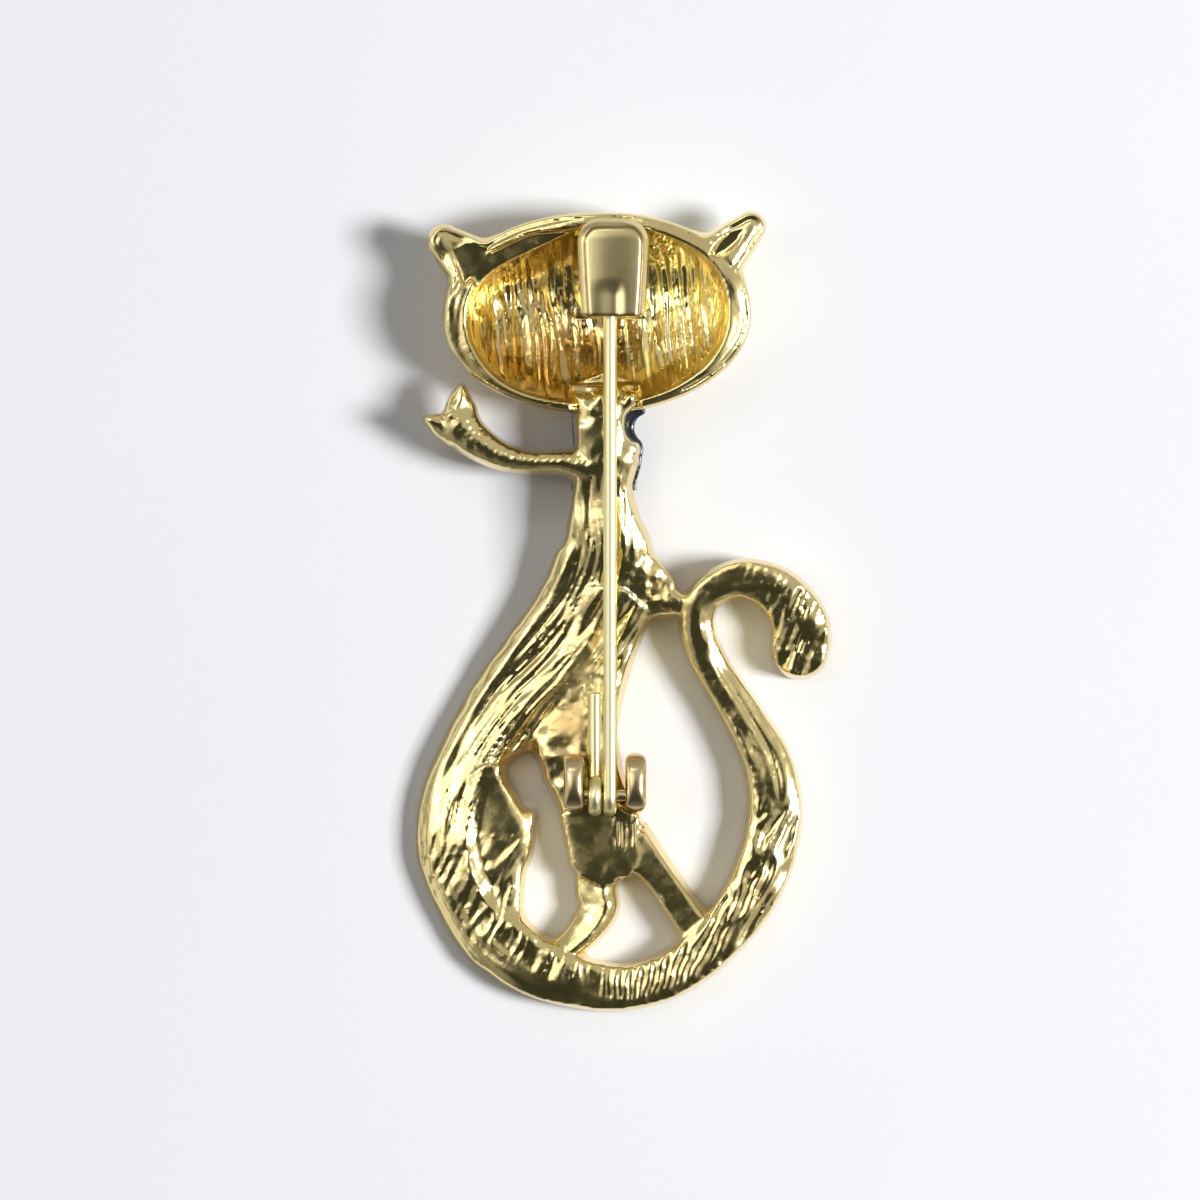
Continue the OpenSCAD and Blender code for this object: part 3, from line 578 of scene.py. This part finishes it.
def headField(x, y, z):
    h = SimpleNamespace(**head)
    step = x[1] - x[0]
    gx, gy = planGrid(x, y)
    turn = math.radians(h.turn)
    px, py = (gx - h.x) / h.scale, (gy - h.y) / h.scale
    hx, hy = px * math.cos(turn) + py * math.sin(turn), py * math.cos(turn) - px * math.sin(turn)
    fine = grainOf(gx, gy)
    outline = ovalShare(hx, hy, h.width / 2, h.up, h.down, h.square)
    edge = inwards(outline, step)
    angle = np.degrees(np.arctan2(hy / h.angleOval[1], hx / h.angleOval[0])) % 360
    bowlShare = ovalShare(hx, hy, h.width / 2 - h.rimSide, h.up - h.rimUp, h.down - h.rimDown, 2.0)
    bowlShare = bowlShare * (1 + sum(share * bump(angle, at, wide) for share, at, wide in h.edgeMoves))
    bowlEdge = inwards(bowlShare, step)
    earEdge = np.full(gx.shape, -far)
    for corners in ears.values():
        places = [(h.x + a * h.width / 2, h.y + b * h.up) for a, b, c in corners]
        earEdge = np.maximum(earEdge, triangle(places, gx, gy, [c for a, b, c in corners]))
    allEdge = softMax(edge, earEdge, h.earBlend)

    # the rim: a bevel at the outside, then a band that falls outwards, with a lip at the bowl
    out = above(-bowlEdge)
    onLeft = ramp(angle, 158, 168) * (1 - ramp(angle, 235, 260))
    band = h.rim - h.tilt * np.clip(out / h.rimSide, 0, 1.6 - 1.15 * onLeft) ** 1.2
    band += 0.10 * cloud(gx / 1.5, gy / 1.5, 41) * ramp(out, 0.15, 0.7) * (1 - 0.8 * onLeft)
    band += 0.06 * (gy - 18.0) * onLeft * ramp(out, 0.45, 0.9)
    band -= 0.24 * bump(allEdge, 0.42, 0.13) * (0.55 + 0.45 * cloud(gx / 2.2, gy / 2.2, 43)) * (1 - onLeft)
    rim = softMin(h.wallFoot + h.wallSlope * allEdge, band, 0.18)
    # pockets of the ears; the left one goes on as the step along the bowl's top left
    ledge = pocket["ledge"] * ramp(angle, 97, 122) * (1 - ramp(angle, 150, 160)) - out
    e = softMax(triangle(pocket["left"], gx, gy, [0.3] * 3), ledge, 0.2)
    level = pocket["leftLevel"] - 0.03 * (gx + 9) + 0.06 * (gy - 23.5)
    level += 0.02 * cloud(gx / 0.8, gy / 0.8, 42)
    rim += (np.minimum(level, rim) - rim) * ramp(e, -0.04, 0.18)
    e = strokePlan(np.array(pocket["right"]), x, y)[3]
    rim += (np.minimum(pocket["rightLevel"] + 0.10 * (gy - 24.4), rim) - rim) * ramp(e, -0.03, 0.16)
    rim -= 0.35 * (1 - ramp(np.abs(gx + 1.15), 1.9, 2.5)) * (1 - ramp(gy, 14.5, 15.5))  # under the neck
    # the bowl: its depth is a power of the share of its outline, with upright ribs
    power = h.bowlPower + 2.2 * bump(angle, 140, 40)
    deep = np.clip(1 - np.clip(bowlShare, 0, 1) ** power, 0, 1) ** 0.72
    bowl = h.rim - (h.rim - h.floor) * deep
    across = hx + 0.08 * hy + 0.12 * cloud(gx / 0.9, gy / 2.5, 51)
    ribs = 0.65 * np.abs(cloud(across / h.ribPitch * 1.1, hy / 5.0, 52))
    ribs += 0.35 * np.abs(cloud(across / h.ribPitch * 2.3, hy / 3.0, 53))
    bowl += h.ribDepth * (1 - 2.2 * ribs) * ramp(bowlEdge, 0.1, 0.6) + 0.02 * fine
    bowl += h.waves * cloud(gx / 1.8, gy / 1.8, 54) * ramp(bowlEdge, 0.5, 2.0)
    top = np.where(bowlEdge > 0, softMin(bowl, rim + 0.02, 0.1), rim)
    for cx, cy, size, level in solder:
        lump = level - 1.3 * (np.hypot(gx - cx, gy - cy) / size) ** 2 + 0.12 * cloud(gx / 0.3, gy / 0.3, 55)
        top = np.maximum(top, np.where(lump > 3.4, lump, -far))
    top += 0.008 * fine
    dome = h.rim * (1 - np.clip(1 - np.clip(outline, 0, 1) ** h.domePower, 0, 1) ** 0.42)
    dome += above(-edge) * 3
    under = h.earTop - h.earThick + 0.5 * above(0.8 - earEdge) ** 2
    under += above(-allEdge) * 3
    bottom = np.where(edge > 0.25, dome, softMin(dome, np.where(allEdge > -0.6, under, far), 0.3))
    return heightField(top, bottom, z, step)


catch = {
    "x": -0.6993, "mouth": 19.4594, "long": 6.55, "width": 4.85, "mouthShare": 0.89, "endRound": 1.45,
    "endLong": 1.7, "roofTop": 7.30, "capLow": 4.7, "crown": 0.18, "endFall": 0.30, "fallFrom": 24.6,
    "fallLong": 1.3, "bevel": 0.5, "leftDrop": 0.34, "rightDrop": 0.58, "groove": 0.05, "dent": 0.15,
    "dentLeft": 0.40, "dentRight": 0.18, "dentEnds": (20.9, 22.1),
    # boxes: low and high corner from the middle of the mouth, radius of the edges
    "post": ((-2.0, 0.35, 1.0), (2.0, 3.0, 4.9), 0.2), "tab": ((-2.6, -0.1, 4.72), (2.2, 0.8, 5.15), 0.12),
    "tunnel": ((-1.15, -1, 5.3), (0.75, 5.8, 6.7), 0.25), "slot": ((-4.85, -1, 5.3), (-1.0, 5.8, 6.7), 0.15),
}


def catchInset(x, y):  # distance inside its outline, which widens from the mouth to an oval far end
    c = SimpleNamespace(**catch)
    along = np.clip((y - c.mouth) / c.long / 0.7, 0, 1)
    half = c.width / 2 * (c.mouthShare + (1 - c.mouthShare) * along ** 0.8)
    beside = above((np.abs(x - c.x) - half) / c.endRound + 1)
    beyond = above((y - c.mouth - c.long) / c.endLong + 1)
    return c.endRound * (1 - np.hypot(beside, beyond))


def catchField(x, y, z):
    gx, gy, gz = x[:, None, None], y[None, :, None], z[None, None, :]
    c = SimpleNamespace(**catch)
    inset = catchInset(gx, gy)
    across = (gx - c.x) / (c.width / 2)
    # the roof is crowned and falls to the far end; a groove runs round it, and a dent up from the mouth
    height = gz + c.crown * np.abs(across) ** 2.2 - c.roofTop
    height = height + c.endFall * np.clip((gy - c.fallFrom) / c.fallLong, 0, 2) ** 2
    height = height + c.groove * bump(inset, c.bevel, 0.10)
    dent = bump(across, 0.05, np.where(across < 0.05, c.dentLeft, c.dentRight))
    height = height + c.dent * dent * (1 - ramp(gy, *c.dentEnds))
    f = softMax(height, 0 * gz - inset, 0.25)
    # the bevel along its sides and far end is steeper at the right
    a = np.arctan2(c.leftDrop + (c.rightDrop - c.leftDrop) * ramp(across, 0.2, 0.7), c.bevel)
    f = softMax(f, (c.bevel - inset) * np.sin(a) + height * np.cos(a), 0.15)
    f = softMax(softMax(f, c.capLow - gz + 0 * inset, 0.1), c.mouth - gy + 0 * f, 0.12)
    corner = np.hypot(above(0.5 - inset), above(c.mouth + 0.5 - gy))
    f = softMax(f, corner - 0.5 + 0 * gz, 0.1)
    slotLow = c.slot[0][2]
    f = softMax(f, 0.4 - inset - 1.5 * above(gz - slotLow), 0.1)  # narrower below the slot
    post, tab, tunnel, slot = (roundBox(gx - c.x, gy - c.mouth, gz, *catch[name])
                               for name in ("post", "tab", "tunnel", "slot"))
    f = softMin(softMin(f, post, 0.25), tab, 0.12)
    return softMax(f, -np.minimum(tunnel, slot), 0.1)


# the coat: how far it stands out past neck and arm, its shift on the plan, its top and its thickness
enamel = {"edge": 0.08, "armEdge": -0.18, "shift": (0.05, 0.05), "top": -0.06, "thick": 0.44}


def enamelField(x, y, z):
    sx, sy = enamel["shift"]
    edge = np.full((len(x), len(y)), -far)
    metal = np.full((len(x), len(y)), -far)
    neckRows, armRows = sizedRows("back")[2:7], sizedRows("arm")[:5]
    for rows, extra in ((neckRows, enamel["edge"]), (armRows, enamel["armEdge"])):
        e = strokePlan(rows, x - sx, y - sy)[3]
        edge = softMax(edge, e + extra, 0.1)
        metal = np.maximum(metal, e)
    gx, gy = planGrid(x, y)
    swelling, notch = discs(neck["swelling"], gx, gy), discs(neck["notch"], gx, gy)
    edge = softMin(np.maximum(edge, swelling + 0.1), -discs(neck["coatNotch"], gx, gy), 0.08)
    metal = np.minimum(np.maximum(metal, swelling), -notch)
    base = frontHeight(gy)
    beside = 4 * above(-edge)
    top = base + enamel["top"] + 0.5 * np.clip(0.72 - metal, 0, 0.72) ** 2 - beside
    bottom = base + enamel["top"] - enamel["thick"] + 0.6 * above(0.4 - edge) ** 2 + beside
    return heightField(top, bottom, z, x[1] - x[0])


def tube(name, path, radii, sides=20, aside=(1.0, 0, 0)):
    # At each point of the path a circle stands square to the path; both ends close on a point.
    path, radii = np.asarray(path, float), np.asarray(radii, float)
    way = np.gradient(path, axis=0)
    way /= np.linalg.norm(way, axis=1)[:, None]
    u = np.array(aside) - (way @ np.array(aside))[:, None] * way
    u /= np.linalg.norm(u, axis=1)[:, None]
    v = np.cross(way, u)
    a = np.linspace(0, 2 * math.pi, sides, endpoint=False)
    ring = np.cos(a)[None, :, None] * u[:, None] + np.sin(a)[None, :, None] * v[:, None]
    points = (path[:, None] + radii[:, None, None] * ring).reshape(-1, 3)
    n, k = len(path), np.arange(sides)
    i = (np.arange(n - 1) * sides)[:, None]
    after = (k + 1) % sides
    quads = np.stack([i + k, i + after, i + sides + after, i + sides + k], 2)
    return meshFrom(name, points, quads.reshape(-1, 4))


def roundEnds(path, radius, length):  # radii that close both ends of a wire with a round end
    s = np.concatenate([[0], np.cumsum(np.linalg.norm(np.diff(path, axis=0), axis=1))])
    nearEnd = np.clip(np.minimum(s, s[-1] - s) / length, 0, 1)
    return radius * np.sqrt(1 - (1 - nearEnd) ** 2 + 1e-5)


def turn(fromAngle, through, x, drift, count=90):  # one turn round the rivet; angle 0 is straight down
    a = np.radians(fromAngle + np.linspace(0, through, count))
    return np.stack([x + drift * np.linspace(0, 1, count),
                     hingeY + hinge["coilRadius"] * np.sin(a), hingeZ - hinge["coilRadius"] * np.cos(a)], 1)


pin = {
    "rise": 0.95, "reach": 36.2, "point": 4.5, "tip": 0.075, "springLong": 6.9, "coilGap": 0.13,
    "eyeTurn": (500, -320), "eyeDrift": 0.10, "springTurn": (40, 320), "springDrift": 0.06, "rows": 260,
}
slope = math.atan(pin["rise"] / (catch["mouth"] - hingeY))


def tilt(path):  # turns a path about the rivet by the stem's slope
    y, z = path[:, 1] - hingeY, path[:, 2] - hingeZ
    return np.stack([path[:, 0], hingeY + y * math.cos(slope) - z * math.sin(slope),
                     hingeZ + y * math.sin(slope) + z * math.cos(slope)], 1)


# each piece's box, low and high corner, and the step of its grid
catBody = skinOf("catBody", bodyField, (-14.3, -27.2, -0.4), (14.3, 15.8, 6.0), 0.147)
stage(f"body and tail, {len(catBody.data.polygons)} faces")
catHead = skinOf("catHead", headField, (-13.4, 12.4, -0.4), (9.6, 27.2, 5.7), 0.125)
stage(f"head, {len(catHead.data.polygons)} faces")
catchHood = skinOf("catchHood", catchField, (-4.0, 18.9, 0.8), (2.1, 26.6, 7.5), 0.08)
hingeLugs = skinOf("hingeLugs", lugField, (-4.4, -13.8, 1.2), (1.9, -9.0, 5.9), 0.08)
stage(f"catch, {len(catchHood.data.polygons)} faces")
enamelCoat = skinOf("enamelCoat", enamelField, (-14.3, 8.0, 1.2), (2.8, 17.0, 2.6), 0.1)
stage(f"enamel, {len(enamelCoat.data.polygons)} faces")

wireRadius = hinge["wire"] / 2


def wireRun(x, along, z):  # a straight run of wire along Y
    return np.stack([0 * along + x, hingeY + along, 0 * along + z], 1)


straight = np.linspace(0, pin["reach"], pin["rows"])[1:]
eye = turn(*pin["eyeTurn"], pinX - pin["eyeDrift"], pin["eyeDrift"])
stemPath = tilt(np.vstack([eye, wireRun(pinX, straight, hingeZ + hinge["coilRadius"])]))
radii = roundEnds(stemPath, wireRadius, 0.25)
toTip = np.concatenate([np.full(len(eye), 99.0), pin["reach"] - straight])
pointed = pin["tip"] + (wireRadius - pin["tip"]) * np.clip(toTip / pin["point"], 0, 1) ** 0.85
pinWire = tube("pinWire", stemPath, np.minimum(radii, pointed))
springX = pinX - hinge["wire"] - pin["coilGap"]
springRun = np.linspace(0, pin["springLong"], 81)[1:]
springPath = np.vstack([turn(*pin["springTurn"], springX + pin["springDrift"], -pin["springDrift"]),
                        wireRun(springX, springRun, hingeZ - hinge["coilRadius"])])
springWire = tube("springWire", springPath, roundEnds(springPath, wireRadius, 0.12))
rivetLine = np.linspace(-1, 1, 60) * (hinge["space"] / 2 + hinge["lugThick"] - 0.05)
rivetPath = np.stack([rivetLine + hinge["middleX"], 0 * rivetLine + hingeY, 0 * rivetLine + hingeZ], 1)
rivetPin = tube("rivetPin", rivetPath, roundEnds(rivetPath, hinge["rivet"] / 2, 0.15), 24, (0, 0, 1.0))
stage("wires and rivet")

casting = ("cat_casting", "brooch", "gold_plate")
for piece, node, body, slot in (
        (catBody, *casting), (catHead, *casting), (catchHood, *casting), (hingeLugs, *casting),
        (enamelCoat, "front_enamel", "brooch", "dark_enamel"),
        (springWire, "spring_tail", "brooch", "pale_wire"),
        (rivetPin, "hinge_rivet", "brooch", "gold_plate"), (pinWire, "pin_stem", "pin", "pale_wire")):
    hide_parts(node)
    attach(piece, body)


def mathMethod(name):  # a method that adds a Math node
    return lambda self, other: self.math(name, other)


class Sock:  # a socket of a node tree; Python's operators on it add Math nodes
    __add__ = __radd__ = mathMethod("ADD")
    __mul__ = __rmul__ = mathMethod("MULTIPLY")
    __sub__ = mathMethod("SUBTRACT")
    __truediv__ = mathMethod("DIVIDE")
    __pow__ = mathMethod("POWER")

    def __init__(self, tree, socket):
        self.tree, self.socket = tree, socket

    def math(self, operation, *others):
        node = self.tree.nodes.new("ShaderNodeMath")
        node.operation = operation
        for entry, value in zip(node.inputs, (self, *others)):
            plug(self.tree, value, entry)
        return Sock(self.tree, node.outputs[0])

    def __rsub__(self, other):
        return (self * -1) + other

    def clamp(self):
        return self.math("MAXIMUM", 0.0).math("MINIMUM", 1.0)

    def ramp(self, a, b):  # 0 below a, 1 above b
        t = ((self - a) / (b - a)).clamp()
        return t * t * (3 - 2 * t)


def plug(tree, value, entry):
    if isinstance(value, Sock):
        tree.links.new(value.socket, entry)
    elif value is not None:
        entry.default_value = value


class Nodes:  # one node tree; node() adds any node with its settings and plugs its sockets
    def __init__(self, owner):
        owner.use_nodes = True
        self.owner, self.tree = owner, owner.node_tree
        self.tree.nodes.clear()

    def node(self, kind, settings=None, output=0, **inputs):
        node = self.tree.nodes.new("ShaderNode" + kind)
        for key, value in (settings or {}).items():
            setattr(node, key, value)
        for key, value in inputs.items():
            plug(self.tree, value, node.inputs[key.replace("_", " ")])
        return Sock(self.tree, node.outputs[output]) if node.outputs else None

    def mix(self, share, a, b, clamp=True):  # one colour to another
        node = self.tree.nodes.new("ShaderNodeMix")
        node.data_type, node.clamp_factor = "RGBA", clamp
        entries = {entry.identifier: entry for entry in node.inputs}
        for key, value in (("Factor_Float", share), ("A_Color", a), ("B_Color", b)):
            plug(self.tree, (*value, 1) if isinstance(value, tuple) else value, entries[key])
        return Sock(self.tree, next(e for e in node.outputs if e.identifier == "Result_Color"))


class Finish(Nodes):  # a material's nodes
    def __init__(self, name):
        super().__init__(bpy.data.materials.new(name))

    def place(self):
        return self.node("TexCoord", output="Object")

    def stretched(self, scale):
        return self.node("Mapping", Vector=self.place(), Scale=scale)

    def noise(self, scale, detail=3, rough=0.55, vector=None):
        vector = vector or self.place()
        return self.node("TexNoise", Vector=vector, Scale=scale, Detail=detail, Roughness=rough)

    def value(self, name):
        return self.node("Attribute", {"attribute_name": name}, output="Fac")

    def bump(self, height, strength, distance):
        return self.node("Bump", output="Normal", Strength=strength, Distance=distance, Height=height)

    def finish(self, colour, rough, normal, metallic, **constants):
        if isinstance(colour, tuple):
            colour = (*colour, 1)
        shader = self.node("BsdfPrincipled", Base_Color=colour, Roughness=rough, Normal=normal,
                           Metallic=metallic, **constants)
        self.node("OutputMaterial", Surface=shader)
        return self.owner


def wear(piece, material):
    piece.data.materials.clear()
    piece.data.materials.append(material)


# looks: colours, a roughness and what its patches add to it, and the finest marks' height in metres
# the gold's deep brown stands for painted shade (under the hinge, in the keyhole, low in the head's bowl) and
# for rust and stains on the body
goldLook = {
    # the bright yellow is a painted highlight on the head's right side
    "pale": (0.85, 0.69, 0.31), "deep": (0.66, 0.40, 0.13), "paintedHighlight": (1.0, 0.90, 0.50), "rough": 0.12,
    "patch": 0.08, "matte": 0.28, "grain": 0.00002,
}
# the stock metal's seam colour is painted shade in the catch's groove, at the foot of its outline and at its
# mouth
stockLook = {
    "hood": (0.77, 0.65, 0.32), "hinge": (0.64, 0.51, 0.28), "grooveShade": (0.30, 0.19, 0.08), "rough": 0.21,
    "patch": 0.06, "lines": 0.00001,
}
wireLook = {"colour": (0.82, 0.76, 0.43), "rough": 0.34, "patch": 0.06, "lines": 0.00001}
enamelLook = {
    "dark": (0.008, 0.011, 0.024), "light": (0.018, 0.023, 0.045), "rough": 0.16, "patch": 0.05,
    "coat": 0.8, "coatRough": 0.05, "ripple": 0.00002,
}
paperLook = {"cool": (0.845, 0.855, 0.89), "warm": (0.875, 0.885, 0.92), "rough": 0.9, "fibre": 0.00005}


def goldFinish():
    m = Finish("cast gold plate")
    patches = m.noise(900, 3).ramp(0.42, 0.62)
    grain = m.noise(5200, 4, 0.6)
    # deep brown for painted shade, with rust and stains
    colour = m.mix((m.value("hollow") * 0.8).clamp(), goldLook["pale"], goldLook["deep"])
    # bright yellow for a painted highlight
    colour = m.mix(m.value("paintedHighlight"), colour, goldLook["paintedHighlight"])
    rough = goldLook["rough"] + goldLook["patch"] * patches + goldLook["matte"] * m.value("matte")
    return m.finish(colour, rough, m.bump(grain, 0.35, goldLook["grain"]), 1.0)


def satinFinish(name, colour):
    m = Finish(name)
    # painted shade where the seam share is set
    share = (m.value("grooveShade") * (0.55 + 0.9 * m.noise(700, 3))).clamp()
    lines = m.noise(1.0, 3, 0.6, m.stretched((9000, 500, 9000)))
    rough = stockLook["rough"] + stockLook["patch"] * m.noise(600, 2)
    normal = m.bump(lines, 0.2, stockLook["lines"])
    return m.finish(m.mix(share, colour, stockLook["grooveShade"]), rough, normal, 1.0)


def wireFinish():
    m = Finish("drawn brass wire")
    lines = m.noise(1.0, 3, 0.6, m.stretched((16000, 260, 16000)))
    rough = wireLook["rough"] + wireLook["patch"] * m.noise(1200, 2)
    return m.finish(wireLook["colour"], rough, m.bump(lines, 0.25, wireLook["lines"]), 1.0)


def enamelFinish():
    m = Finish("blue-black enamel")
    depth = m.noise(700, 2)
    colour = m.mix(depth, enamelLook["dark"], enamelLook["light"])
    rough = enamelLook["rough"] + enamelLook["patch"] * depth
    return m.finish(colour, rough, m.bump(depth, 0.1, enamelLook["ripple"]), 0.0,
                    Coat_Weight=enamelLook["coat"], Coat_Roughness=enamelLook["coatRough"])


def paperFinish():
    m = Finish("white paper")
    fibre = m.noise(900, 4)
    colour = m.mix(m.noise(25, 2), paperLook["cool"], paperLook["warm"])
    return m.finish(colour, paperLook["rough"], m.bump(fibre, 0.15, paperLook["fibre"]), 0.0)


# Spots of the body that the gold's material shows browner or duller: middle across, middle up, radius.
spots = {
    "dab": (-3.5, -7.5, 1.5), "hip": (-8.7, -13.9, 1.9), "bridge": (2.4, 1.6, 1.3), "hook": (7.6, 2.4, 2.4),
}


def spot(name, x, y):
    cx, cy, size = spots[name]
    return bump(np.hypot(x - cx, y - cy), 0, size)


x, y, z = pointsOf(catBody)
# painted shade: the pad under the hinge and the keyhole's lower walls turn deep brown, together with the rust
# and stain spots
hingeBedShade = ramp(2.0 - np.abs(x + 1.2), 0, 0.8) * ramp(2.6 - np.abs(y + 11.3), 0, 0.8)
keyholeShade = ramp(1.75 - np.hypot(x - keyhole["x"], y - keyhole["y"]), 0, 0.4) * ramp(3.6 - z, 0, 0.6)
dab, bridgeRust = spot("dab", x, y), 0.4 * spot("bridge", x, y) + 0.25 * spot("hook", x, y)
addValue(catBody, "hollow", np.clip(hingeBedShade + 0.7 * keyholeShade + 0.7 * dab + bridgeRust, 0, 1))
rubbed = bump(np.hypot((x + 2.6) * 0.9, (y + 4.6) * 0.6), 0, 1.3)
addValue(catBody, "matte", rubbed + 0.9 * dab + 0.3 * spot("hip", x, y) + bridgeRust)
x, y, z = pointsOf(catHead)
# painted shade: the head's lower surfaces turn deep brown, most at the low left of the bowl
lowLeftShade = ramp(19.8 - y + 0.15 * x, -0.5, 2.0) * ramp(1.0 - x, 0, 2.5)
addValue(catHead, "hollow", ramp(4.6 - z, 0, 1.2) * (0.03 + 0.8 * lowLeftShade))
# painted highlight: the right of the head below the rim gets the bright yellow
rightHighlight = ramp(x, -0.5, 1.5) * ramp(4.9 - z, 0, 0.8)
addValue(catHead, "paintedHighlight", rightHighlight * ramp(y, 14.5, 18.0))
x, y, z = pointsOf(catchHood)
inset = catchInset(x, y)
# painted shade: the groove round the roof, the foot of the outline and the edge of the mouth turn dark
grooveShade = 0.95 * bump(inset, catch["bevel"], 0.12) + 0.5 * (1 - ramp(inset, 0.0, 0.14))
addValue(catchHood, "grooveShade", np.clip(grooveShade + 0.7 * bump(y, catch["mouth"] + 0.15, 0.14), 0, 1))
gold, wire = goldFinish(), wireFinish()
satin = satinFinish("satin stock metal", stockLook["hood"])
brown = satinFinish("worn stock metal", stockLook["hinge"])
for piece, material in (
        (catBody, gold), (catHead, gold), (catchHood, satin), (hingeLugs, brown), (rivetPin, brown),
        (enamelCoat, enamelFinish()), (pinWire, wire), (springWire, wire)):
    wear(piece, material)
stage("materials")

bpy.ops.mesh.primitive_grid_add(x_subdivisions=8, y_subdivisions=8, size=1.2, location=(0, 0, -0.00002))
floor = bpy.context.object
floor.name = "paperFloor"
wear(floor, paperFinish())

lamps = {  # place and size in metres, power in watts; each looks at the brooch
    "boxRight": ((0.76, -0.06, 0.74), (0.26, 0.32), 12.7),
    "boxBack": ((-0.22, 0.62, 0.80), (0.50, 0.20), 0.66),
    "boxLeft": ((-0.66, 0.16, 0.66), (0.14, 0.60), 0.5),
}
for name, (place, size, power) in lamps.items():
    data = bpy.data.lights.new(name, "AREA")
    data.shape, data.size, data.size_y, data.energy = "RECTANGLE", size[0], size[1], power
    lamp = bpy.data.objects.new(name, data)
    lamp.location = place
    lamp.rotation_euler = (-Vector(place)).to_track_quat("-Z", "Y").to_euler()
    bpy.context.scene.collection.objects.link(lamp)

# The world is a tent of white cards with a dark opening that widens towards the photo's lower edge.
tent = {
    "walls": (0.62, 0.62, 0.62), "opening": (0.045, 0.05, 0.04), "strength": 0.90, "onPaper": 0.27,
    "openingWide": (0.26, 0.5), "openingLong": 0.62, "openingUp": -0.38, "below": 0.6, "sideCard": 1.2,
    # cards: direction (across, along, up), where each begins and where it is full, brightness
    "cards": [((-0.39, 0.20, 0.90), 0.935, 0.968, 2.3), ((-0.63, 0.12, 0.765), 0.95, 0.98, 1.38)],
}


def skyLight():
    world = bpy.data.worlds.new("tent")
    w = Nodes(world)
    direction = w.node("TexCoord", output="Generated")
    across, along, up = (w.node("SeparateXYZ", output=k, Vector=direction) for k in "XYZ")
    wide, widening = tent["openingWide"]
    wide = wide + widening * (0 - along).math("MAXIMUM", 0.0)
    long = (along - tent["openingUp"]) / tent["openingLong"]
    opening = ((across / wide) ** 2 + long ** 2).math("SQRT")
    walls = opening.ramp(0.8, 1.15) * (0.72 + 0.28 * across.ramp(-0.7, 0.7))
    walls = walls * (0.75 + 0.25 * along.ramp(-0.8, 0.3)) * (0.6 + 0.4 * up.ramp(0.0, 0.35))
    walls = walls + (1 - up.ramp(-0.02, 0.02)) * tent["below"]
    for (a, b, c), start, full, power in tent["cards"]:
        walls = walls + power * (up * c + along * b + across * a).ramp(start, full)
    walls = walls + tent["sideCard"] * ((0 - across).ramp(0.72, 0.9) * up.ramp(0.12, 0.25))
    colour = w.mix(walls, tent["opening"], tent["walls"], clamp=False)
    onPaper = w.node("LightPath", output="Is Diffuse Ray")
    strength = tent["strength"] - (tent["strength"] - tent["onPaper"]) * onPaper
    w.node("OutputWorld", Surface=w.node("Background", Color=colour, Strength=strength))
    bpy.context.scene.world = world


skyLight()

# what the camera looks at, how wide it sees there, and how far above it stands
camera = {"middle": (-1.57, 0.74), "across": 80.0, "away": 700.0, "plane": 1.2, "sensor": 36}
lens = bpy.data.cameras.new("camera")
lens.sensor_width = camera["sensor"]
lens.lens = camera["sensor"] * camera["away"] / camera["across"]
lens.clip_start = 0.01
viewer = bpy.data.objects.new("camera", lens)
viewer.location = [v * mm for v in (*camera["middle"], camera["away"] + camera["plane"])]
bpy.context.scene.collection.objects.link(viewer)
bpy.context.scene.camera = viewer
bpy.context.scene.view_settings.view_transform = "Standard"
stage("light and camera")
